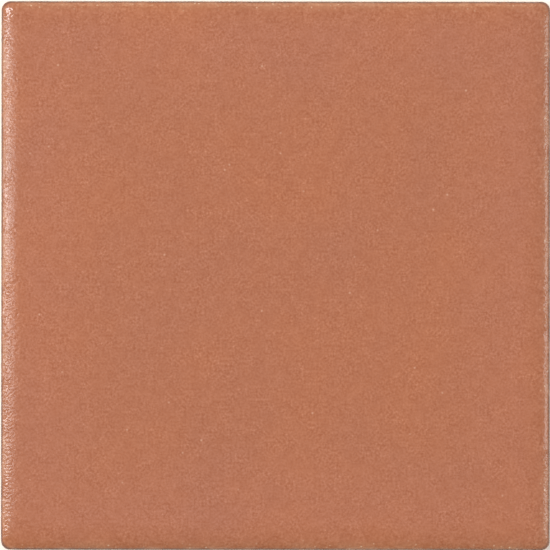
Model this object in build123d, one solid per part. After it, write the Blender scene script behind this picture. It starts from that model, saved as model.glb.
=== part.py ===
"""One square glazed wall tile, dry-pressed in a die and fired as a single piece.

It lies face up, with its bed on Z = 0 and the origin at the middle of the bed.
All lengths are in millimetres.
"""

from build123d import *
import os

# The whole tile: a nominal 4 1/4 inch square, 5/16 inch thick
side = 108.0
thickness = 8.0

# Plan corners of the die box
corner_radius = 1.8

# Cushion edge: the flat middle of the face eases down over a wide, faint shoulder,
# then rolls over into the upright side walls
shoulder_width = 9.0
shoulder_drop = 0.25
shoulder_corner_growth = 0.5  # added to the plan corner for each millimetre inwards
cushion_radius = 2.4

# Small break all round the foot, where the die's lower edge leaves it
foot_chamfer = 0.4

# Keys pressed into the bed for the adhesive to grip: shallow square cells in rows,
# with ribs between them and a plain border round them
cells_per_side = 8
cell_size = 9.5
rib_width = 2.0
cell_depth = 0.6
cell_corner_radius = 1.0
cell_draft_deg = 20.0

eaves_height = thickness - shoulder_drop  # where the shoulder would meet the side wall


def outline(inset, height):
    """The tile's outline, that far in from the side walls and that high."""
    width = side - 2 * inset
    radius = corner_radius + shoulder_corner_growth * inset
    return Pos(0, 0, height) * RectangleRounded(width, width, radius)


def pressed_body():
    """Upright side walls on a broken foot, with the cushion edge round the face."""
    walls = extrude(outline(0, 0), eaves_height)
    walls = chamfer(walls.edges().group_by(Axis.Z)[0], foot_chamfer)
    shoulder = loft(
        [outline(0, eaves_height), outline(shoulder_width, thickness)], ruled=True
    )
    body = walls + shoulder
    rim = body.edges().filter_by_position(Axis.Z, eaves_height, eaves_height)
    return fillet(rim, cushion_radius)


def bed_cells():
    """The square cells of the bed, each narrowing upwards so that the die lets go."""
    cell = extrude(
        RectangleRounded(cell_size, cell_size, cell_corner_radius),
        cell_depth,
        taper=cell_draft_deg,
    )
    pitch = cell_size + rib_width
    places = GridLocations(pitch, pitch, cells_per_side, cells_per_side)
    return [place * cell for place in places]


tile = pressed_body() - bed_cells()
print("tile: valid", tile.is_valid, "volume in cm3", round(tile.volume / 1000, 2))

os.makedirs("parts", exist_ok=True)
export_step(tile, "parts/tile.step")
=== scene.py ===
# %% [markdown]
# A square glazed wall tile
#
# The tile is one slab of dry-pressed clay with a satin, terracotta-coloured glaze fired
# on to it. It lies face up under soft studio light, and the camera looks straight down.
# The CAD model gives the size and the solid; this lesson gives the tile its looks. Two
# pieces stand for the one solid: the clay body, which shows on the back and round the
# foot, and the coat of glaze over it. The frame is loaded first, and everything below is
# in metres in that same frame.

# %% Load the frame
import math

import bmesh
import bpy
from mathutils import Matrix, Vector


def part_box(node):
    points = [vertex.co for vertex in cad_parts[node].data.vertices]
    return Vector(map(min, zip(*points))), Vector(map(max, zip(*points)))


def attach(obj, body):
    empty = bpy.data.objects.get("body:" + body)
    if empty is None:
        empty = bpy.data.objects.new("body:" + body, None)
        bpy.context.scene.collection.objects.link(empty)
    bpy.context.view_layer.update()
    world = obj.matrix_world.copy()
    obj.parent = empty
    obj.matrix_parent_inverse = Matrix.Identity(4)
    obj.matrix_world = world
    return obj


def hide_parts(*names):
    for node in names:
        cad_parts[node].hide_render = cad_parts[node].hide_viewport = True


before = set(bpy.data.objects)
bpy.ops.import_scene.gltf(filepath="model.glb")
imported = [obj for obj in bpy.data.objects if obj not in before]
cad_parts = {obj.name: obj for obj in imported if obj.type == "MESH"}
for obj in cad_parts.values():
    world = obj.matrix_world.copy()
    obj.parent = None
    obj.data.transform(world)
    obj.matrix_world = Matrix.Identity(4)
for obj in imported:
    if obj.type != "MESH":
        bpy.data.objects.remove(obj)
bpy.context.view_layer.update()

lowest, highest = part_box("tile")
print("CAD tile, mm:", [round(1000 * (b - a), 2) for a, b in zip(lowest, highest)])

# %% [markdown]
# Node trees are drawn by the script, both for shapes and for finishes. Wiring nodes by
# hand takes three lines a node, so a few small helpers keep the recipes readable. The
# first ones put a node in a tree and do its sums.

# %% Helpers: nodes and sums
def feed(tree, socket, value):
    """Wires another node's output into a socket, or sets the socket to a plain value."""
    if isinstance(value, bpy.types.NodeSocket):
        tree.links.new(value, socket)
    else:
        socket.default_value = value


def put(tree, kind, inputs=None, **settings):
    """Adds a node with these settings and inputs, and returns it."""
    node = tree.nodes.new(kind)
    for name, value in settings.items():
        setattr(node, name, value)
    for name, value in (inputs or {}).items():
        feed(tree, node.inputs[name], value)
    return node


def sum_of(tree, operation, *values):
    """A Math node on up to three numbers, and its result."""
    node = put(tree, "ShaderNodeMath", dict(enumerate(values)), operation=operation)
    return node.outputs[0]


def times(tree, first, second):
    """The product of two numbers."""
    return sum_of(tree, "MULTIPLY", first, second)


def less(tree, first, second):
    """The first number less the second."""
    return sum_of(tree, "SUBTRACT", first, second)


def vector_of(tree, operation, *values):
    """A Vector Math node on vectors, and its result."""
    kind = "ShaderNodeVectorMath"
    node = put(tree, kind, dict(enumerate(values)), operation=operation)
    return node.outputs["Vector"]


def scaled(tree, vector, factor):
    """The vector made longer or shorter by this factor."""
    node = put(tree, "ShaderNodeVectorMath", {0: vector}, operation="SCALE")
    feed(tree, node.inputs["Scale"], factor)
    return node.outputs[0]


# %% [markdown]
# The next helpers say where something is: how far a value has come between two limits,
# how far a place is from the middle of the tile, and what a noise says there. The last
# one makes a tree with named inputs.

# %% Helpers: ranges, distances, noises and trees
def part_of(tree, value, start, end):
    """How far the value has come from start to end, kept between 0 and 1."""
    inputs = {"Value": value, "From Min": start, "From Max": end}
    return put(tree, "ShaderNodeMapRange", inputs, clamp=True).outputs["Result"]


def blend_of(tree, amount, first, second):
    """A number that goes from the first value to the second as amount goes 0 to 1."""
    inputs = {"Value": amount, "To Min": first, "To Max": second}
    return put(tree, "ShaderNodeMapRange", inputs, clamp=True).outputs["Result"]


def from_middle(tree, place):
    """The larger of a place's distances from the middle, along X and along Y."""
    split = put(tree, "ShaderNodeSeparateXYZ", {"Vector": place}).outputs
    along_x = sum_of(tree, "ABSOLUTE", split["X"])
    along_y = sum_of(tree, "ABSOLUTE", split["Y"])
    return sum_of(tree, "MAXIMUM", along_x, along_y)


def noise_of(tree, place, seed, frequency, detail, roughness=0.5):
    """A noise at this place, about 0 to 1. Another seed gives another pattern."""
    inputs = {
        "Vector": place,
        "W": seed,
        "Scale": frequency,
        "Detail": detail,
        "Roughness": roughness,
    }
    return put(tree, "ShaderNodeTexNoise", inputs, noise_dimensions="4D").outputs[0]


def new_tree(name, kind, inputs, outputs):
    """A node tree with named inputs and outputs. Returns it with its two end nodes."""
    tree = bpy.data.node_groups.new(name, kind)
    for socket_name, socket_type in inputs.items():
        tree.interface.new_socket(socket_name, in_out="INPUT", socket_type=socket_type)
    for socket_name, socket_type in outputs.items():
        tree.interface.new_socket(socket_name, in_out="OUTPUT", socket_type=socket_type)
    start = tree.nodes.new("NodeGroupInput").outputs
    end = tree.nodes.new("NodeGroupOutput").inputs
    return tree, start, end


# %% [markdown]
# The tile's own measures come next. The outside of the glaze is the CAD solid's outside.
# The clay lies one coat's thickness inside it, and the glaze stops short of the foot, in
# a slightly wavy lip, because a tile stands on its foot in the kiln and glaze there would
# fuse it to the shelf.

# %% Measures
MM = 0.001
SIDE = highest.x - lowest.x
THICKNESS = highest.z - lowest.z
CORNER_RADIUS = 1.8 * MM
CORNER_GROWTH = 0.5
CUSHION_WIDTH = 6.0 * MM
CUSHION_DROP = 2.4 * MM
CUSHION_POWER = 3.0
COAT_DEPTH = 0.2 * MM
LIP_HEIGHT = 2.3 * MM
LIP_WAVE = 2.4 * MM
FOOT_BREAK = 0.4 * MM
CELLS_PER_SIDE = 8
CELL_PITCH = 11.5 * MM
CELL_SIZE = 9.5 * MM
CELL_DEPTH = 0.6 * MM
CELL_CORNER = 1.0 * MM

# %% [markdown]
# Both pieces are built on the same idea. A flat grid of squares is a set of square rings,
# one inside the next. Each ring can be laid on a rounded square of any size: its points
# first go on a sharp square, and those past the start of a corner are pulled in on to the
# corner's arc. Modelling the tile as a box with bevelled edges would also work, but a
# bevel gives a plain round, while rings can follow any section, down the side wall too.
# "Crowding" draws the points of a ring towards its corners, where the outline turns.

# %% Node group: a ring laid on a rounded square
FLOAT = "NodeSocketFloat"
VECTOR = "NodeSocketVector"
GEOMETRY = "NodeSocketGeometry"
QUARTER_TURN = math.pi / 2
ABOVE_ZERO = 1e-6

ring_group, start, end = new_tree(
    "Ring on a rounded square",
    "GeometryNodeTree",
    {"Grid Point": VECTOR, "Half Side": FLOAT, "Corner Radius": FLOAT, "Crowding": FLOAT},
    {"Place": VECTOR},
)
point = put(ring_group, "ShaderNodeSeparateXYZ", {"Vector": start["Grid Point"]}).outputs
ring_size = from_middle(ring_group, start["Grid Point"])
ring_size = sum_of(ring_group, "MAXIMUM", ring_size, ABOVE_ZERO)
along = []
for axis in "XY":
    even = sum_of(ring_group, "DIVIDE", point[axis], ring_size)
    crowded = sum_of(ring_group, "SINE", times(ring_group, even, QUARTER_TURN))
    spread = blend_of(ring_group, start["Crowding"], even, crowded)
    along.append(times(ring_group, spread, start["Half Side"]))
square = put(ring_group, "ShaderNodeCombineXYZ", {"X": along[0], "Y": along[1]}).outputs[0]
core = less(ring_group, start["Half Side"], start["Corner Radius"])
inside = vector_of(ring_group, "MINIMUM", square, core)
inside = vector_of(ring_group, "MAXIMUM", inside, times(ring_group, core, -1.0))
outward = vector_of(ring_group, "NORMALIZE", vector_of(ring_group, "SUBTRACT", square, inside))
arm = scaled(ring_group, outward, start["Corner Radius"])
feed(ring_group, end["Place"], vector_of(ring_group, "ADD", inside, arm))
print("ring group:", len(ring_group.nodes), "nodes")

# %% [markdown]
# Both trees use the group in the same two steps: a grid point is laid flat on its ring,
# and then raised to the ring's height. Two more helpers keep something on the mesh under
# a name: numbers for the glaze's material, and the bake map.

# %% Helpers: a point on its ring, and a value kept on the mesh
BAKE_MAP = "OFBake"


def laid_ring(tree, grid_point, half_side, corner_radius, crowding):
    """The place of a grid point once its ring is on a rounded square."""
    node = tree.nodes.new("GeometryNodeGroup")
    node.node_tree = ring_group
    feed(tree, node.inputs["Grid Point"], grid_point)
    feed(tree, node.inputs["Half Side"], half_side)
    feed(tree, node.inputs["Corner Radius"], corner_radius)
    feed(tree, node.inputs["Crowding"], crowding)
    return node.outputs["Place"]


def raised(tree, flat_place, height):
    """The same place at this height."""
    lift = put(tree, "ShaderNodeCombineXYZ", {"Z": height}).outputs[0]
    return vector_of(tree, "ADD", flat_place, lift)


def kept_on(tree, mesh, name, value):
    """The mesh with a number kept on each of its points, under this name."""
    return put(
        tree,
        "GeometryNodeStoreNamedAttribute",
        {"Geometry": mesh, "Name": name, "Value": value},
        data_type="FLOAT",
        domain="POINT",
    ).outputs[0]


def on_bake_map(tree, mesh, map_place, selection=True):
    """The mesh, or the selected faces of it, laid on the bake map at these places."""
    return put(
        tree,
        "GeometryNodeStoreNamedAttribute",
        {"Geometry": mesh, "Selection": selection, "Name": BAKE_MAP, "Value": map_place},
        data_type="FLOAT2",
        domain="CORNER",
    ).outputs[0]


# %% [markdown]
# The coat of glaze follows one section all the way round, from the middle of the face
# outwards: a flat middle, a cushion edge that eases down and then turns over ever faster
# into the side wall, the wall itself, and the rolled lip where the melt stopped. The
# cushion is a superellipse, which stays almost flat for a long way and then turns quickly,
# as the pressed clay does.
#
# The rings of the grid are shared out along that section. A ring's number is its distance
# from the middle of a grid that goes from -1 to 1, so it runs from 0 to 1, and each part of
# the section ends at a ring number of its own.

# %% Geometry nodes: the coat's grid
coat_tree, start, end = new_tree(
    "Glaze coat",
    "GeometryNodeTree",
    {
        "Side": FLOAT,
        "Thickness": FLOAT,
        "Corner Radius": FLOAT,
        "Corner Growth": FLOAT,
        "Cushion Width": FLOAT,
        "Cushion Drop": FLOAT,
        "Cushion Power": FLOAT,
        "Lip Height": FLOAT,
        "Lip Wave": FLOAT,
        "Coat Depth": FLOAT,
        "Unevenness": FLOAT,
        "Edge Unevenness": FLOAT,
        "Rings": "NodeSocketInt",
        "Seed": FLOAT,
        "Glaze": "NodeSocketMaterial",
    },
    {"Coat": GEOMETRY},
)
FLAT_END = 0.46
CUSHION_END = 0.78
WALL_END = 0.93

vertices = sum_of(coat_tree, "MULTIPLY_ADD", start["Rings"], 2.0, 1.0)
grid = put(
    coat_tree,
    "GeometryNodeMeshGrid",
    {"Size X": 2.0, "Size Y": 2.0, "Vertices X": vertices, "Vertices Y": vertices},
)
grid_point = coat_tree.nodes.new("GeometryNodeInputPosition").outputs[0]
ring = from_middle(coat_tree, grid_point)
flat_part = part_of(coat_tree, ring, 0.0, FLAT_END)
cushion_part = part_of(coat_tree, ring, FLAT_END, CUSHION_END)
wall_part = part_of(coat_tree, ring, CUSHION_END, WALL_END)
lip_part = part_of(coat_tree, ring, WALL_END, 1.0)

# %% [markdown]
# The section, one measure at a time. "Left" is what is still to go to the wall, raised to
# the cushion's power so that the rings crowd where the section turns. The corners of the
# rings grow with their distance from the wall, up to a share of the ring's own size.

# %% Geometry nodes: the coat's section
CROWDING = 0.8
LARGEST_CORNER = 0.14

power = start["Cushion Power"]
left = sum_of(coat_tree, "POWER", less(coat_tree, 1.0, cushion_part), power)
along_cushion = less(coat_tree, 1.0, left)
bulge = less(coat_tree, 1.0, sum_of(coat_tree, "POWER", along_cushion, power))
bulge = sum_of(coat_tree, "MAXIMUM", bulge, 0.0)
still_up = sum_of(coat_tree, "POWER", bulge, sum_of(coat_tree, "DIVIDE", 1.0, power))
cushion_fall = times(coat_tree, less(coat_tree, 1.0, still_up), start["Cushion Drop"])

half = times(coat_tree, start["Side"], 0.5)
flat_half = less(coat_tree, half, start["Cushion Width"])
inset = times(coat_tree, left, start["Cushion Width"])
reach = times(coat_tree, flat_half, flat_part)
reach = sum_of(coat_tree, "MULTIPLY_ADD", along_cushion, start["Cushion Width"], reach)

roll = times(coat_tree, lip_part, QUARTER_TURN)
roll_down = times(coat_tree, sum_of(coat_tree, "SINE", roll), start["Coat Depth"])
roll_in = less(coat_tree, 1.0, sum_of(coat_tree, "COSINE", roll))
roll_in = times(coat_tree, roll_in, start["Coat Depth"])

corner = sum_of(coat_tree, "MULTIPLY_ADD", inset, start["Corner Growth"], start["Corner Radius"])
corner = less(coat_tree, corner, roll_in)
reach_now = less(coat_tree, reach, roll_in)
corner = sum_of(coat_tree, "MINIMUM", corner, times(coat_tree, reach_now, LARGEST_CORNER))
flat_place = laid_ring(coat_tree, grid_point, reach_now, corner, CROWDING)

# %% [markdown]
# The lip's height is read from a noise at the same place in plan, so it wanders round
# the tile and meets itself again. Then each point has its height on the section.

# %% Geometry nodes: the lip, and the heights
LIP_WAVES = 0.075
LIP_DETAIL = 4.0
LIP_ROUGHNESS = 0.6

in_millimetres = scaled(coat_tree, flat_place, 1 / MM)
wander = noise_of(
    coat_tree, in_millimetres, start["Seed"], LIP_WAVES, LIP_DETAIL, LIP_ROUGHNESS
)
wander = less(coat_tree, wander, 0.5)
lip_height = sum_of(coat_tree, "MULTIPLY_ADD", wander, start["Lip Wave"], start["Lip Height"])
eaves = less(coat_tree, start["Thickness"], start["Cushion Drop"])
wall_height = blend_of(coat_tree, wall_part, eaves, lip_height)
on_face = less(coat_tree, start["Thickness"], cushion_fall)
is_wall = sum_of(coat_tree, "GREATER_THAN", wall_part, 0.0)
height = less(coat_tree, blend_of(coat_tree, is_wall, on_face, wall_height), roll_down)

# %% [markdown]
# Before the grid takes its shape, three things are kept on it: the bake map, with the
# side wall folded out flat round the face, and two numbers for the glaze's finish. "edge"
# is 0 on the face and rises to 1 where the cushion meets the wall. "down" is 0 at the top
# of the wall and 1 at the lip.

# %% Geometry nodes: what the coat keeps, and its shape
EDGE = "edge"
DOWN = "down"
MAP_SHARE = 0.46
MAP_MIDDLE = (0.5, 0.47, 0.0)

unfolded = less(coat_tree, start["Thickness"], height)
unfolded = sum_of(coat_tree, "ADD", reach, unfolded)
map_place = laid_ring(coat_tree, grid_point, unfolded, corner, CROWDING)
map_half = less(coat_tree, start["Thickness"], start["Lip Height"])
map_half = sum_of(coat_tree, "ADD", map_half, half)
map_half = sum_of(coat_tree, "ADD", map_half, start["Lip Wave"])
on_map = scaled(coat_tree, map_place, sum_of(coat_tree, "DIVIDE", MAP_SHARE, map_half))
on_map = vector_of(coat_tree, "ADD", on_map, MAP_MIDDLE)

mapped = on_bake_map(coat_tree, grid.outputs["Mesh"], on_map)
edged = kept_on(coat_tree, mapped, EDGE, along_cushion)
walled = kept_on(coat_tree, edged, DOWN, wall_part)
shaped = put(
    coat_tree,
    "GeometryNodeSetPosition",
    {"Geometry": walled, "Position": raised(coat_tree, flat_place, height)},
)
print("coat tree so far:", len(coat_tree.nodes), "nodes")

# %% [markdown]
# A fired glaze isn't machined. On the face it lies almost flat, and only a very slow
# swell is left of the melt. On the turn of the edge it runs thin and gathers, so there
# it is uneven at a scale of a few millimetres, and the highlight along the edge comes
# and goes with it. "edge" says how much of this each point gets.

# %% Geometry nodes: the unevenness of the melt
SLOW_WAVES = 0.12
SLOW_DETAIL = 2.0
QUICK_WAVES = 0.42
QUICK_DETAIL = 2.5
UNEVEN_FROM_TO = (0.45, 0.95)


def swell(tree, seed, waves_per_millimetre, detail):
    """A noise at the point's own place, about -0.5 to 0.5."""
    here = tree.nodes.new("GeometryNodeInputPosition").outputs[0]
    in_waves = scaled(tree, here, waves_per_millimetre / MM)
    return less(tree, noise_of(tree, in_waves, seed, 1.0, detail), 0.5)


def pushed(tree, mesh, amount):
    """The mesh with each point moved along its normal by this amount."""
    normal = tree.nodes.new("GeometryNodeInputNormal").outputs[0]
    inputs = {"Geometry": mesh, "Offset": scaled(tree, normal, amount)}
    return put(tree, "GeometryNodeSetPosition", inputs).outputs[0]


slow = swell(coat_tree, start["Seed"], SLOW_WAVES, SLOW_DETAIL)
slow = times(coat_tree, slow, start["Unevenness"])
quick = swell(coat_tree, start["Seed"], QUICK_WAVES, QUICK_DETAIL)
quick = times(coat_tree, quick, start["Edge Unevenness"])
closeness = put(coat_tree, "GeometryNodeInputNamedAttribute", {"Name": EDGE}, data_type="FLOAT")
closeness = part_of(coat_tree, closeness.outputs[0], *UNEVEN_FROM_TO)
amount = sum_of(coat_tree, "MULTIPLY_ADD", quick, closeness, slow)
uneven = pushed(coat_tree, shaped.outputs[0], amount)
print("coat tree so far:", len(coat_tree.nodes), "nodes")

# %% [markdown]
# A sheet becomes a closed piece by drawing its open rim in, step by step, on the side
# that nobody sees, until it meets in the middle. The hidden faces get a narrow strip of
# the bake map, so that the visible ones have nearly all of it.

# %% Helper: close a sheet on its hidden side
STRIP_SIZE = (8.0, 0.4, 0.0)
STRIP_MIDDLE = (0.5, 0.97, 0.0)
STRIP_LEAN = 0.7
MEETING_DISTANCE = 0.002 * MM


def closed_up(tree, mesh, steps):
    """Closes a sheet on its hidden side. Each step draws the rim in to this share of its
    width, at this height, and the last step gathers it in the middle."""
    faces_beside = tree.nodes.new("GeometryNodeInputMeshEdgeNeighbors").outputs[0]
    settings = {"data_type": "INT", "operation": "EQUAL"}
    rim = put(tree, "FunctionNodeCompare", {2: faces_beside, 3: 1}, **settings).outputs[0]
    hidden = False
    for share, step_height in steps:
        drawn = put(
            tree,
            "GeometryNodeExtrudeMesh",
            {"Mesh": mesh, "Selection": rim, "Offset Scale": 0.0},
            mode="EDGES",
        )
        here = tree.nodes.new("GeometryNodeInputPosition").outputs[0]
        flat = vector_of(tree, "MULTIPLY", here, (share, share, 0.0))
        moved = put(
            tree,
            "GeometryNodeSetPosition",
            {
                "Geometry": drawn.outputs["Mesh"],
                "Selection": drawn.outputs["Top"],
                "Position": raised(tree, flat, step_height),
            },
        )
        sides = {0: drawn.outputs["Side"], 1: hidden}
        hidden = put(tree, "FunctionNodeBooleanMath", sides, operation="OR").outputs[0]
        mesh, rim = moved.outputs[0], drawn.outputs["Top"]

    here = tree.nodes.new("GeometryNodeInputPosition").outputs[0]
    squeezed = vector_of(tree, "MULTIPLY", here, STRIP_SIZE)
    height = put(tree, "ShaderNodeSeparateXYZ", {"Vector": here}).outputs["Z"]
    lean = times(tree, height, STRIP_LEAN)
    lean = put(tree, "ShaderNodeCombineXYZ", {"X": lean, "Y": lean}).outputs[0]
    strip = vector_of(tree, "ADD", squeezed, STRIP_MIDDLE)
    strip = vector_of(tree, "ADD", strip, lean)
    mapped = on_bake_map(tree, mesh, strip, hidden)
    closing = {"Geometry": mapped, "Distance": MEETING_DISTANCE}
    return put(tree, "GeometryNodeMergeByDistance", closing).outputs[0]


# %% [markdown]
# The coat is a shell, so the lip's inner edge is drawn up inside the clay and then in to
# the middle. The last steps are the same for both pieces: the mesh is shaded smooth, made
# real and given its material.

# %% Geometry nodes: the finished coat
INNER_WALL_DEPTH = 0.4 * MM
INNER_CEILING_DEPTH = 0.9 * MM
INNER_WALL_SHARE = 0.997
INNER_CEILING_SHARE = 0.945


def finished(tree, mesh, material):
    """The mesh shaded smooth, made real and given its material."""
    smooth = put(tree, "GeometryNodeSetShadeSmooth", {"Geometry": mesh}).outputs[0]
    real = put(tree, "GeometryNodeRealizeInstances", {"Geometry": smooth}).outputs[0]
    inputs = {"Geometry": real, "Material": material}
    return put(tree, "GeometryNodeSetMaterial", inputs).outputs[0]


inner_wall_top = less(coat_tree, eaves, INNER_WALL_DEPTH)
ceiling = less(coat_tree, start["Thickness"], INNER_CEILING_DEPTH)
coat_steps = [
    (INNER_WALL_SHARE, inner_wall_top),
    (INNER_CEILING_SHARE, ceiling),
    (0.0, ceiling),
]
coat_closed = closed_up(coat_tree, uneven, coat_steps)
feed(coat_tree, end["Coat"], finished(coat_tree, coat_closed, start["Glaze"]))
print("coat tree:", len(coat_tree.nodes), "nodes")

# %% [markdown]
# The back of a pressed tile has keys for the adhesive: here eight rows of eight shallow
# square cells with ribs between them. One cell is drawn, again as rings of a small grid:
# a flat floor, walls with a little draft so that the press lets go, a softened edge, and
# the rib outside it. Each of these ends at a ring number of its own.

# %% Geometry nodes: the plan of one cell
body_tree, start, end = new_tree(
    "Clay body",
    "GeometryNodeTree",
    {
        "Side": FLOAT,
        "Thickness": FLOAT,
        "Corner Radius": FLOAT,
        "Coat Depth": FLOAT,
        "Foot Break": FLOAT,
        "Cells": "NodeSocketInt",
        "Cell Pitch": FLOAT,
        "Cell Size": FLOAT,
        "Cell Depth": FLOAT,
        "Cell Corner": FLOAT,
        "Unevenness": FLOAT,
        "Seed": FLOAT,
        "Clay": "NodeSocketMaterial",
    },
    {"Body": GEOMETRY},
)
CELL_RINGS = 8
CELL_VERTICES = 2 * CELL_RINGS + 1
FLOOR_END = 3.1 / CELL_RINGS
DRAFT_END = 5.1 / CELL_RINGS
SOFT_END = 6.1 / CELL_RINGS
DRAFT = 0.22 * MM
SOFT_EDGE = 0.12 * MM
LARGEST_CELL_CORNER = 0.22

cell_grid = put(
    body_tree,
    "GeometryNodeMeshGrid",
    {"Size X": 2.0, "Size Y": 2.0, "Vertices X": CELL_VERTICES, "Vertices Y": CELL_VERTICES},
)
cell_point = body_tree.nodes.new("GeometryNodeInputPosition").outputs[0]
cell_ring = from_middle(body_tree, cell_point)
floor_part = part_of(body_tree, cell_ring, 0.0, FLOOR_END)
draft_part = part_of(body_tree, cell_ring, FLOOR_END, DRAFT_END)
edge_part = part_of(body_tree, cell_ring, DRAFT_END, SOFT_END)
rib_part = part_of(body_tree, cell_ring, SOFT_END, 1.0)

mouth = times(body_tree, start["Cell Size"], 0.5)
floor_half = less(body_tree, mouth, DRAFT + SOFT_EDGE)
cell_half = times(body_tree, floor_half, floor_part)
cell_half = sum_of(body_tree, "MULTIPLY_ADD", draft_part, DRAFT, cell_half)
cell_half = sum_of(body_tree, "MULTIPLY_ADD", edge_part, 2 * SOFT_EDGE, cell_half)
pitch_half = times(body_tree, start["Cell Pitch"], 0.5)
rib_half = less(body_tree, less(body_tree, pitch_half, mouth), SOFT_EDGE)
cell_half = sum_of(body_tree, "MULTIPLY_ADD", rib_part, rib_half, cell_half)
cell_corner = blend_of(body_tree, rib_part, start["Cell Corner"], 0.0)
largest_corner = times(body_tree, cell_half, LARGEST_CELL_CORNER)
cell_corner = sum_of(body_tree, "MINIMUM", cell_corner, largest_corner)
cell_place = laid_ring(body_tree, cell_point, cell_half, cell_corner, 0.0)

# %% [markdown]
# The cell's heights follow, and then the cell is set on a grid of points. The cells meet
# edge to edge, so once the copies are real mesh their shared rims can be merged, and the
# back is one sheet. Cutting the cells out with booleans would leave long thin faces that
# shade badly.

# %% Geometry nodes: the cell's heights, and the cells set out in rows
EDGE_SHARE = 0.12

edge_start = times(body_tree, start["Cell Depth"], EDGE_SHARE)
cell_height = blend_of(body_tree, draft_part, start["Cell Depth"], edge_start)
is_edge = sum_of(body_tree, "GREATER_THAN", edge_part, 0.0)
edge_height = blend_of(body_tree, edge_part, edge_start, 0.0)
cell_height = blend_of(body_tree, is_edge, cell_height, edge_height)
cell_shape = raised(body_tree, cell_place, cell_height)
cell = put(
    body_tree,
    "GeometryNodeSetPosition",
    {"Geometry": cell_grid.outputs["Mesh"], "Position": cell_shape},
)

span = times(body_tree, less(body_tree, start["Cells"], 1.0), start["Cell Pitch"])
places = put(
    body_tree,
    "GeometryNodeMeshGrid",
    {"Size X": span, "Size Y": span, "Vertices X": start["Cells"], "Vertices Y": start["Cells"]},
)
cells = put(
    body_tree,
    "GeometryNodeInstanceOnPoints",
    {"Points": places.outputs["Mesh"], "Instance": cell.outputs[0]},
)
cells_real = put(body_tree, "GeometryNodeRealizeInstances", {"Geometry": cells.outputs[0]})
print("cells on the back:", CELLS_PER_SIDE**2)

# %% [markdown]
# Round the cells comes a plain border, the broken edge of the foot, and the clay side
# wall, which goes on up under the glaze. These are more rings, and the innermost one has
# its points exactly where the cells' outer rims have theirs, so the two sheets merge. A
# ring's step is counted from there: it is 0 on the cells' outer rim and 12 on the last ring.

# %% Geometry nodes: the steps of the border, the foot and the clay side wall
OUTER_RINGS = 12.0
BORDER_END = 4.0
BREAK_END = 7.0

cell_steps = times(body_tree, start["Cells"], float(CELL_RINGS))
all_steps = sum_of(body_tree, "ADD", cell_steps, OUTER_RINGS)
frame_vertices = sum_of(body_tree, "MULTIPLY_ADD", all_steps, 2.0, 1.0)
frame_grid = put(
    body_tree,
    "GeometryNodeMeshGrid",
    {"Size X": 2.0, "Size Y": 2.0, "Vertices X": frame_vertices, "Vertices Y": frame_vertices},
)
frame_point = body_tree.nodes.new("GeometryNodeInputPosition").outputs[0]
frame_ring = from_middle(body_tree, frame_point)
minus_cells = times(body_tree, cell_steps, -1.0)
step = sum_of(body_tree, "MULTIPLY_ADD", frame_ring, all_steps, minus_cells)
border_part = part_of(body_tree, step, 0.0, BORDER_END)
break_part = part_of(body_tree, step, BORDER_END, BREAK_END)
clay_wall_part = part_of(body_tree, step, BREAK_END, OUTER_RINGS)

# %% [markdown]
# Each ring gets its half side, its height and its corner from its step. The break of the
# foot is a quarter of a circle. The grid's own middle is left out, because the cells lie
# there.

# %% Geometry nodes: the border, the foot and the clay side wall
WALL_TOP_DEPTH = 2.6 * MM
WITHIN_THE_CELLS = -0.25

cells_half = times(body_tree, pitch_half, start["Cells"])
minus_coat = times(body_tree, start["Coat Depth"], -1.0)
wall_half = sum_of(body_tree, "MULTIPLY_ADD", start["Side"], 0.5, minus_coat)
foot_half = less(body_tree, wall_half, start["Foot Break"])
border_half = blend_of(body_tree, border_part, cells_half, foot_half)
swing = times(body_tree, break_part, QUARTER_TURN)
swing_out = times(body_tree, sum_of(body_tree, "SINE", swing), start["Foot Break"])
swing_up = less(body_tree, 1.0, sum_of(body_tree, "COSINE", swing))
swing_up = times(body_tree, swing_up, start["Foot Break"])
frame_half = sum_of(body_tree, "ADD", border_half, swing_out)
clay_rise = less(body_tree, start["Thickness"], WALL_TOP_DEPTH)
clay_rise = less(body_tree, clay_rise, start["Foot Break"])
frame_height = sum_of(body_tree, "MULTIPLY_ADD", clay_wall_part, clay_rise, swing_up)
frame_corner = less(body_tree, start["Corner Radius"], start["Coat Depth"])
frame_corner = less(body_tree, frame_corner, start["Foot Break"])
frame_corner = sum_of(body_tree, "ADD", frame_corner, swing_out)
frame_corner = times(body_tree, frame_corner, border_part)
frame_crowding = times(body_tree, border_part, CROWDING)
frame_place = laid_ring(body_tree, frame_point, frame_half, frame_corner, frame_crowding)

in_the_middle = sum_of(body_tree, "LESS_THAN", step, WITHIN_THE_CELLS)
frame_open = put(
    body_tree,
    "GeometryNodeDeleteGeometry",
    {"Geometry": frame_grid.outputs["Mesh"], "Selection": in_the_middle},
    domain="FACE",
)
frame_shape = raised(body_tree, frame_place, frame_height)
frame_shaped = put(
    body_tree,
    "GeometryNodeSetPosition",
    {"Geometry": frame_open.outputs[0], "Position": frame_shape},
)
print("body tree so far:", len(body_tree.nodes), "nodes")

# %% [markdown]
# The two sheets are joined and merged, and their faces are turned to look outwards. The
# bake map is stored here as well: the back is laid on it as it is, with the side wall
# folded out round it.

# %% Geometry nodes: the clay body, joined and closed
MERGE_DISTANCE = 0.004 * MM
FOLD_START = 47.0 * MM
FOLD_END = 53.0 * MM
FOLD_FACTOR = 19.0
BACK_MAP_HALF = 60 * MM
CLAY_TOP_DEPTH = 0.7 * MM
CLAY_TOP_SHARE = 0.95

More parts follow.
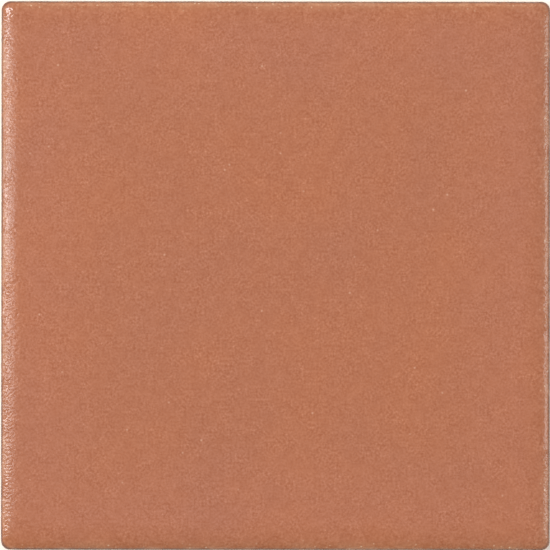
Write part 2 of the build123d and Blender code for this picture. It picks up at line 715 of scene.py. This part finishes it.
joined = body_tree.nodes.new("GeometryNodeJoinGeometry")
body_tree.links.new(frame_shaped.outputs[0], joined.inputs[0])
body_tree.links.new(cells_real.outputs[0], joined.inputs[0])
merged = put(
    body_tree,
    "GeometryNodeMergeByDistance",
    {"Geometry": joined.outputs[0], "Distance": MERGE_DISTANCE},
)
turned = put(body_tree, "GeometryNodeFlipFaces", {"Mesh": merged.outputs[0]})
body_place = body_tree.nodes.new("GeometryNodeInputPosition").outputs[0]
body_height = put(body_tree, "ShaderNodeSeparateXYZ", {"Vector": body_place}).outputs["Z"]
at_wall = part_of(body_tree, from_middle(body_tree, body_place), FOLD_START, FOLD_END)
fold = times(body_tree, body_height, at_wall)
fold = sum_of(body_tree, "MULTIPLY_ADD", fold, FOLD_FACTOR, 1.0)
body_map = scaled(body_tree, body_place, times(body_tree, fold, MAP_SHARE / BACK_MAP_HALF))
body_map = vector_of(body_tree, "ADD", body_map, MAP_MIDDLE)
body_mapped = on_bake_map(body_tree, turned.outputs[0], body_map)
clay_top = less(body_tree, start["Thickness"], CLAY_TOP_DEPTH)
body_steps = [(CLAY_TOP_SHARE, clay_top), (0.0, clay_top)]
body_closed = closed_up(body_tree, body_mapped, body_steps)

# %% [markdown]
# Fired clay isn't as flat as steel. Every point of the body is nudged by a little noise,
# mostly inwards, which softens the ribs' edges by a different amount from place to place.

# %% Geometry nodes: the clay's unevenness, and the finished body
CLAY_WAVES = 0.55
CLAY_DETAIL = 3.0
MOSTLY_IN = 0.25

body_wave = swell(body_tree, start["Seed"], CLAY_WAVES, CLAY_DETAIL)
body_wave = less(body_tree, body_wave, MOSTLY_IN)
body_wave = times(body_tree, body_wave, start["Unevenness"])
body_uneven = pushed(body_tree, body_closed, body_wave)
feed(body_tree, end["Body"], finished(body_tree, body_uneven, start["Clay"]))
print("body tree:", len(body_tree.nodes), "nodes")

# %% [markdown]
# Both finishes have the same kind of fine grain: specks of colour and tiny bumps a few
# tenths of a millimetre across. It is one node group, used in each material with its own
# sizes. It reads the place in millimetres, so a size in it is a real size.

# %% Shader group: fine grain
grain_group, start, end = new_tree(
    "Fine grain",
    "ShaderNodeTree",
    {"Place": VECTOR, "Grain Size": FLOAT, "Mix of Sizes": FLOAT, "Speck Share": FLOAT},
    {"Grain": FLOAT, "Pebble": FLOAT, "Cloud": FLOAT, "Speck": FLOAT},
)
PATCH_SIZE = 7.0
MEDIUM_SIZE = 3.4
MEDIUM_STRENGTH = 0.33
PEBBLE_SIZE = 0.95
CLOUD_SIZE = 40.0
PATCH_FROM_TO = (-0.18, 0.18)
WEAKEST = 0.65
STRONGEST = 1.35


def grain_noise(times_size, detail, roughness=0.5):
    """A noise whose waves are this many grains wide, from about -0.5 to 0.5."""
    width = times(grain_group, start["Grain Size"], times_size)
    inputs = {
        "Vector": start["Place"],
        "Scale": sum_of(grain_group, "DIVIDE", 1.0, width),
        "Detail": detail,
        "Roughness": roughness,
    }
    noise = put(grain_group, "ShaderNodeTexNoise", inputs)
    return less(grain_group, noise.outputs[0], 0.5)


def around_half(name, value):
    """Sends a value that lies round 0 out of the group, as one that lies round 0.5."""
    feed(grain_group, end[name], sum_of(grain_group, "ADD", value, 0.5))


here_and_there = part_of(grain_group, grain_noise(PATCH_SIZE, 1.0), *PATCH_FROM_TO)
strength = blend_of(grain_group, here_and_there, WEAKEST, STRONGEST)
fine = times(grain_group, grain_noise(1.0, 2.0, start["Mix of Sizes"]), strength)
medium = times(grain_group, grain_noise(MEDIUM_SIZE, 2.0), MEDIUM_STRENGTH)
around_half("Grain", sum_of(grain_group, "ADD", fine, medium))
around_half("Pebble", times(grain_group, grain_noise(PEBBLE_SIZE, 0.6), strength))
around_half("Cloud", grain_noise(CLOUD_SIZE, 4.0, 0.6))

# %% [markdown]
# A speck is a dot round the point that its cell grew from. The cells come from a Voronoi
# pattern, each with a colour of its own, and that colour works as a lot: only a cell with
# a low lot has a speck.

# %% Shader group: specks
CELLS_PER_GRAIN = 0.55
DOT_RIM = 0.34
DOT_MIDDLE = 0.1

speck_frequency = sum_of(grain_group, "DIVIDE", CELLS_PER_GRAIN, start["Grain Size"])
speck_cells = put(
    grain_group,
    "ShaderNodeTexVoronoi",
    {"Vector": start["Place"], "Scale": speck_frequency, "Randomness": 1.0},
    feature="F1",
).outputs
lot = put(grain_group, "ShaderNodeSeparateColor", {"Color": speck_cells["Color"]}).outputs[0]
drawn = sum_of(grain_group, "LESS_THAN", lot, start["Speck Share"])
dot = part_of(grain_group, speck_cells["Distance"], DOT_RIM, DOT_MIDDLE)
feed(grain_group, end["Speck"], times(grain_group, drawn, dot))
print("grain group:", len(grain_group.nodes), "nodes")

# %% [markdown]
# Each material starts in the same way, with its shader and the place in millimetres, and
# takes the grain in its own sizes. Colours are blended, or one is multiplied by another
# to shift it: a factor under 1 darkens, and one over 1 lightens.

# %% Helpers for materials
BUMP_DEPTH = 0.08 * MM


def new_material(name):
    """A material with its Principled shader, and the place in millimetres."""
    material = bpy.data.materials.new(name)
    material.use_nodes = True
    tree = material.node_tree
    shader = tree.nodes["Principled BSDF"]
    place = tree.nodes.new("ShaderNodeTexCoord").outputs["Object"]
    mapping = put(tree, "ShaderNodeMapping", {"Vector": place})
    mapping.inputs["Scale"].default_value = (1 / MM, 1 / MM, 1 / MM)
    return material, tree, shader, mapping.outputs[0]


def grain_in(tree, place, size, mix, speck_share):
    """The grain group in a material, with its own sizes in millimetres."""
    node = tree.nodes.new("ShaderNodeGroup")
    node.node_tree = grain_group
    feed(tree, node.inputs["Place"], place)
    node.inputs["Grain Size"].default_value = size
    node.inputs["Mix of Sizes"].default_value = mix
    node.inputs["Speck Share"].default_value = speck_share
    return node.outputs


def colour_mix(tree, amount, first, second, blend_type="MIX"):
    """One colour blended into another, or multiplied by it."""
    node = put(tree, "ShaderNodeMix", data_type="RGBA", blend_type=blend_type)
    feed(tree, node.inputs[0], amount)
    feed(tree, node.inputs[6], first)
    feed(tree, node.inputs[7], second)
    return node.outputs[2]


def bumped(tree, shader, height):
    """Gives the shader a normal that follows this height."""
    bump = put(tree, "ShaderNodeBump", {"Height": height})
    bump.inputs["Strength"].default_value = 1.0
    bump.inputs["Distance"].default_value = BUMP_DEPTH
    feed(tree, shader.inputs["Normal"], bump.outputs["Normal"])


# %% [markdown]
# The glaze is a satin terracotta, but not one colour. On the face a grain under half a
# millimetre across goes lighter and darker, wider clouds lean to orange or to pink, and
# here and there a pale speck shows. Towards the edge, before the turn, the face is a
# little paler.

# %% Material: satin glaze, the face
glaze, tree, shader, place = new_material("satin_glaze")
grain = grain_in(tree, place, 0.5, 0.6, 0.005)
DEEP = (0.296, 0.0812, 0.0264, 1.0)
LIGHT = (0.423, 0.1570, 0.0795, 1.0)
PINK = (0.965, 0.985, 1.060, 1.0)
ORANGE = (1.030, 1.010, 0.935, 1.0)
PALE = (0.62, 0.36, 0.24, 1.0)
MARGIN = (1.018, 1.030, 1.115, 1.0)
GRAIN_FROM_TO = (0.2, 0.8)
GRAIN_POWER = 1.2
CLOUD_FROM_TO = (0.3, 0.7)
MARGIN_FROM_TO = (32.0, 46.0)
MARGIN_FADES = (0.45, 0.05)
SPECK_STRENGTH = 0.5

spread = part_of(tree, grain["Grain"], *GRAIN_FROM_TO)
grained = colour_mix(tree, sum_of(tree, "POWER", spread, GRAIN_POWER), DEEP, LIGHT)
edge = put(tree, "ShaderNodeAttribute", attribute_name=EDGE).outputs["Fac"]
at_margin = part_of(tree, from_middle(tree, place), *MARGIN_FROM_TO)
at_margin = times(tree, at_margin, part_of(tree, edge, *MARGIN_FADES))
grained = colour_mix(tree, at_margin, grained, MARGIN, "MULTIPLY")
hue = part_of(tree, grain["Cloud"], *CLOUD_FROM_TO)
cloud = colour_mix(tree, hue, PINK, ORANGE)
coloured = colour_mix(tree, 1.0, grained, cloud, "MULTIPLY")
coloured = colour_mix(tree, times(tree, grain["Speck"], SPECK_STRENGTH), coloured, PALE)

# %% [markdown]
# On the turn of the edge the melt runs off and is thin, so the clay's colour comes
# through: the whole turn leans a little to tan, with paler patches a few millimetres
# long and pale dashes along its crest. Cream pinpoints on the turn are painted glints,
# small highlights painted into the colour. The dashes and the painted glints stop short
# of the side wall.

# %% Material: satin glaze, the turn of the edge
BUFF = (0.51, 0.27, 0.165, 1.0)
PAINTED_GLINT_CREAM = (0.84, 0.64, 0.44, 1.0)
TAN = (0.99, 1.04, 0.97, 1.0)
PATCH_SEED = 84.0
PATCH_WAVES = 0.15
PATCH_STRENGTH = 0.16
DASH_SEED = 12.0
DASH_WAVES = 0.45
DASH_STRENGTH = 0.25
PAINTED_GLINT_STRENGTH = 0.6
TURN_FROM_TO = (0.60, 0.85)
BARE_FROM_TO = (0.46, 0.60)
WORN_FROM_TO = (0.48, 0.62)
CREST_STARTS = (0.85, 0.90)
CREST_STOPS = (0.97, 0.94)
WALL_FADES = (1.0, 0.98)

on_turn = part_of(tree, edge, *TURN_FROM_TO)
patch = noise_of(tree, place, PATCH_SEED, PATCH_WAVES, 3.0)
bare = part_of(tree, patch, *BARE_FROM_TO)
thin = times(tree, on_turn, bare)
coloured = colour_mix(tree, times(tree, thin, PATCH_STRENGTH), coloured, BUFF)
coloured = colour_mix(tree, on_turn, coloured, TAN, "MULTIPLY")

worn = noise_of(tree, place, DASH_SEED, DASH_WAVES, 2.0)
worn = part_of(tree, worn, *WORN_FROM_TO)
crest = times(tree, part_of(tree, edge, *CREST_STARTS), part_of(tree, edge, *CREST_STOPS))
dashes = times(tree, worn, crest)
coloured = colour_mix(tree, times(tree, dashes, DASH_STRENGTH), coloured, BUFF)

off_wall = part_of(tree, edge, *WALL_FADES)
# Painted glints: cream dots on the turn that stand in for small highlights.
painted_glint = grain_in(tree, place, 0.42, 0.6, 0.28)["Speck"]
painted_glint = times(tree, painted_glint, times(tree, on_turn, PAINTED_GLINT_STRENGTH))
painted_glint = times(tree, painted_glint, blend_of(tree, bare, 0.2, 1.0))
painted_glint = times(tree, painted_glint, off_wall)
coloured = colour_mix(tree, painted_glint, coloured, PAINTED_GLINT_CREAM)

# %% [markdown]
# Just before the wall the turn ends in a thin dark line, mostly painted shade and partly
# the darker line of thin glaze; it is fainter where the edge is worn. Down the wall the
# melt has run, and it pools a little darker at the lip.

# %% Material: satin glaze, the painted dark line and the lip
PAINTED_RIM_SHADE = (0.35, 0.31, 0.31, 1.0)
POOLED = (0.78, 0.72, 0.68, 1.0)
RIM_SHADE_FROM_TO = (0.915, 0.955)
RIM_SHADE_WHERE_WORN = 0.6
POOL_FROM_TO = (0.6, 1.0)

# Painted shade: a thin dark line multiplied into the colour just before the wall.
painted_rim_shade = times(tree, part_of(tree, edge, *RIM_SHADE_FROM_TO), off_wall)
painted_rim_shade = times(tree, painted_rim_shade, blend_of(tree, worn, 1.0, RIM_SHADE_WHERE_WORN))
coloured = colour_mix(tree, painted_rim_shade, coloured, PAINTED_RIM_SHADE, "MULTIPLY")
down = put(tree, "ShaderNodeAttribute", attribute_name=DOWN).outputs["Fac"]
pooled = part_of(tree, down, *POOL_FROM_TO)
coloured = colour_mix(tree, pooled, coloured, POOLED, "MULTIPLY")
feed(tree, shader.inputs["Base Color"], coloured)

# %% [markdown]
# The grain makes the glaze a little duller here and glossier there, and its pebbles tilt
# the light. The turn is glossier than the face and its pebbles are higher, so that the
# light on the rounded edge breaks up into glints. Where the glaze is thin the turn is
# duller, and where it has gathered the pebbles are lower.

# %% Material: satin glaze, the shine
GLOSSIEST = 0.18
DULLEST = 0.28
TURN_ROUGHNESS = 0.15
THIN_ROUGHNESS = 0.22
FACE_PEBBLES = 0.58
TURN_PEBBLES = 1.5
GATHERED_PEBBLES = 1.1
GATHERED_FROM_TO = (0.46, 0.36)
GLAZE_IOR = 1.55

satin = blend_of(tree, spread, GLOSSIEST, DULLEST)
satin = blend_of(tree, on_turn, satin, TURN_ROUGHNESS)
feed(tree, shader.inputs["Roughness"], blend_of(tree, thin, satin, THIN_ROUGHNESS))
shader.inputs["IOR"].default_value = GLAZE_IOR

gathered = times(tree, on_turn, part_of(tree, patch, *GATHERED_FROM_TO))
pebble_size = blend_of(tree, on_turn, FACE_PEBBLES, TURN_PEBBLES)
pebble_size = blend_of(tree, gathered, pebble_size, GATHERED_PEBBLES)
bumped(tree, shader, times(tree, grain["Pebble"], pebble_size))
print("glaze:", len(tree.nodes), "nodes")

# %% [markdown]
# The clay body is a pale buff, dry and matt, with coarser grain and a few darker specks of
# iron. Nothing shines on it, so its roughness stays high.

# %% Material: bare clay
clay, tree, shader, place = new_material("bare_clay")
grain = grain_in(tree, place, 0.7, 0.7, 0.2)
CLAY_DARK = (0.50, 0.37, 0.27, 1.0)
CLAY_LIGHT = (0.66, 0.52, 0.40, 1.0)
CLAY_RED = (0.62, 0.40, 0.29, 1.0)
IRON = (0.22, 0.12, 0.08, 1.0)
RED_STRENGTH = 0.45
IRON_STRENGTH = 0.12

spread = part_of(tree, grain["Grain"], 0.25, 0.75)
grained = colour_mix(tree, spread, CLAY_DARK, CLAY_LIGHT)
hue = part_of(tree, grain["Cloud"], *CLOUD_FROM_TO)
coloured = colour_mix(tree, times(tree, hue, RED_STRENGTH), grained, CLAY_RED)
coloured = colour_mix(tree, times(tree, grain["Speck"], IRON_STRENGTH), coloured, IRON)
feed(tree, shader.inputs["Base Color"], coloured)
feed(tree, shader.inputs["Roughness"], blend_of(tree, spread, 0.8, 0.95))
bumped(tree, shader, grain["Grain"])
print("clay:", len(tree.nodes), "nodes")

# %% [markdown]
# Now the two trees are run. A bare object carries the tree as a modifier, its inputs are
# set, and the evaluated result is copied to a plain mesh. The measures printed say whether
# the mesh is closed: a closed mesh has no open edges.

# %% Helper: run a tree and keep a plain mesh
def plain_piece(name, tree, values):
    """The tree's result as a plain mesh object of this name."""
    piece = bpy.data.objects.new(name, bpy.data.meshes.new(name))
    bpy.context.scene.collection.objects.link(piece)
    modifier = piece.modifiers.new("Rule", "NODES")
    modifier.node_group = tree
    for socket in tree.interface.items_tree:
        if socket.name in values:
            modifier[socket.identifier] = values[socket.name]
    evaluated = piece.evaluated_get(bpy.context.evaluated_depsgraph_get())
    mesh = bpy.data.meshes.new_from_object(evaluated)
    piece.modifiers.clear()
    piece.data = mesh
    mesh.name = name
    check = bmesh.new()
    check.from_mesh(mesh)
    open_edges = sum(not edge.is_manifold for edge in check.edges)
    volume = check.calc_volume(signed=True) * 1e6
    triangles = sum(len(face.verts) - 2 for face in check.faces)
    check.free()
    print(name, "triangles", triangles, "open edges", open_edges, "cm3", round(volume, 2))
    return piece


# %% [markdown]
# Both pieces are made at the tile's own measures. Together they replace the one CAD solid,
# and the coat takes the material slot of the glaze.

# %% Make the coat and the body
FACE_UNEVENNESS = 0.02 * MM
EDGE_UNEVENNESS = 0.08 * MM
CLAY_UNEVENNESS = 0.05 * MM
COAT_RINGS = 100
GLAZE_SEED = 3.0
CLAY_SEED = 7.0

shared_measures = {
    "Side": SIDE,
    "Thickness": THICKNESS,
    "Corner Radius": CORNER_RADIUS,
    "Coat Depth": COAT_DEPTH,
}
coat = plain_piece(
    "glaze_coat",
    coat_tree,
    {
        **shared_measures,
        "Corner Growth": CORNER_GROWTH,
        "Cushion Width": CUSHION_WIDTH,
        "Cushion Drop": CUSHION_DROP,
        "Cushion Power": CUSHION_POWER,
        "Lip Height": LIP_HEIGHT,
        "Lip Wave": LIP_WAVE,
        "Unevenness": FACE_UNEVENNESS,
        "Edge Unevenness": EDGE_UNEVENNESS,
        "Rings": COAT_RINGS,
        "Seed": GLAZE_SEED,
        "Glaze": glaze,
    },
)
body = plain_piece(
    "clay_body",
    body_tree,
    {
        **shared_measures,
        "Foot Break": FOOT_BREAK,
        "Cells": CELLS_PER_SIDE,
        "Cell Pitch": CELL_PITCH,
        "Cell Size": CELL_SIZE,
        "Cell Depth": CELL_DEPTH,
        "Cell Corner": CELL_CORNER,
        "Unevenness": CLAY_UNEVENNESS,
        "Seed": CLAY_SEED,
        "Clay": clay,
    },
)
for piece in (coat, body):
    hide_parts("tile")
    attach(piece, "root")

# %% [markdown]
# The camera looks straight down at the face through a long lens, as the photograph does,
# and the tile fills its frame almost to the edge. Its distance follows from the lens: the
# frame is 550 pixels wide and the tile takes up 548.5 of them. It stands a pixel or less
# off the middle and is turned by a hair, as in the photograph.

# %% Camera
LENS = 200.0
SENSOR = 36.0
PIXELS = 550
TILE_PIXELS = 548.5
SHIFT_X = -0.6
SHIFT_Y = 0.75
CAMERA_TURN = 0.08

camera_data = bpy.data.cameras.new("camera")
camera_data.lens = LENS
camera_data.sensor_width = SENSOR
camera_data.dof.use_dof = False
camera = bpy.data.objects.new("camera", camera_data)
bpy.context.scene.collection.objects.link(camera)
bpy.context.scene.camera = camera
frame_width = SIDE * PIXELS / TILE_PIXELS
distance = frame_width / SENSOR * LENS
pixel = frame_width / PIXELS
camera.location = (SHIFT_X * pixel, SHIFT_Y * pixel, THICKNESS - CUSHION_DROP + distance)
camera.rotation_euler = (0.0, 0.0, math.radians(CAMERA_TURN))
camera_data.clip_start = 0.01
camera_data.clip_end = 10.0
print("camera height, mm:", round(camera.location.z / MM, 1))

# %% [markdown]
# The floor is a plain warm white sheet under the tile.

# %% Floor
FLOOR_SHADE = (0.89, 0.83, 0.755, 1.0)
FLOOR_LIGHT = (0.92, 0.86, 0.785, 1.0)

floor_data = bpy.data.meshes.new("floor")
floor_sheet = bmesh.new()
bmesh.ops.create_grid(floor_sheet, x_segments=1, y_segments=1, size=3.0)
floor_sheet.to_mesh(floor_data)
floor_sheet.free()
floor = bpy.data.objects.new("floor", floor_data)
bpy.context.scene.collection.objects.link(floor)
paper, tree, shader, place = new_material("warm_white_floor")
mottle = put(tree, "ShaderNodeTexNoise", {"Vector": place, "Scale": 0.02, "Detail": 2.0})
tint = colour_mix(tree, mottle.outputs[0], FLOOR_SHADE, FLOOR_LIGHT)
feed(tree, shader.inputs["Base Color"], tint)
shader.inputs["Roughness"].default_value = 0.9
floor_data.materials.append(paper)

# %% [markdown]
# The light is a studio's. Four narrow soft boxes stand one over another on the left, and
# the rounded edge mirrors them from steep to shallow, so they reach from near the floor to
# well over the tile. The key box stands behind them, towards the back left corner, which
# gets the brightest glint. A weak box on the right gives that edge its streak, and a
# weaker, warm one behind warms the back edge.

# %% Lights
WHITE = (1.0, 1.0, 1.0)
WARM = (1.0, 0.79, 0.50)
LAMP_DISTANCE = 1.2
LEFT = 178.0
BACK_LEFT = 145.0
BACK = 90.0
RIGHT = 0.0
STRIP = 0.12


def soft_light(name, azimuth, elevation, power, width=0.5, height=0.5, colour=WHITE):
    """A soft box aimed at the tile. Azimuth 0 is +X and 90 is +Y, in degrees."""
    data = bpy.data.lights.new(name, "AREA")
    data.color = colour
    data.shape = "RECTANGLE"
    data.size = width
    data.size_y = height
    data.energy = power
    lamp = bpy.data.objects.new(name, data)
    turn = math.radians(azimuth)
    rise = math.radians(elevation)
    flat = Vector((math.cos(turn), math.sin(turn), 0.0)) * math.cos(rise)
    lamp.location = (flat + Vector((0.0, 0.0, math.sin(rise)))) * LAMP_DISTANCE
    lamp.rotation_mode = "QUATERNION"
    lamp.rotation_quaternion = lamp.location.to_track_quat("Z", "Y")
    lamp.visible_camera = False
    bpy.context.scene.collection.objects.link(lamp)


soft_light("left_low", LEFT, 9.0, 0.8, width=STRIP, height=0.3)
soft_light("left_rising", LEFT, 24.0, 0.9, width=STRIP, height=0.35)
soft_light("left_middle", LEFT, 40.0, 2.1, width=STRIP, height=0.35)
soft_light("left_high", LEFT, 58.0, 1.2, width=STRIP, height=0.35)
soft_light("key", BACK_LEFT, 45.0, 5.0, width=0.28, height=0.36)
soft_light("right_low", RIGHT, 26.0, 2.7)
soft_light("back_low", BACK, 24.0, 1.3, height=0.3, colour=WARM)

# %% [markdown]
# Round it all is a pale room. It is darker in front of the tile, where the photographer
# stands, and a little darker behind.

# %% Room
ROOM = 0.87
ROOM_FRONT = 0.44
ROOM_BACK = 0.80

world = bpy.data.worlds.new("studio")
world.use_nodes = True
tree = world.node_tree
background = tree.nodes["Background"].inputs
background["Color"].default_value = (1.0, 1.0, 1.0, 1.0)
direction = tree.nodes.new("ShaderNodeTexCoord").outputs["Generated"]
forwards = put(tree, "ShaderNodeSeparateXYZ", {"Vector": direction}).outputs["Y"]
front = part_of(tree, forwards, 0.0, -1.0)
back = part_of(tree, forwards, 0.1, 0.7)
strength = blend_of(tree, back, ROOM, ROOM_BACK)
feed(tree, background["Strength"], blend_of(tree, front, strength, ROOM_FRONT))
bpy.context.scene.world = world
bpy.context.scene.view_settings.view_transform = "Standard"
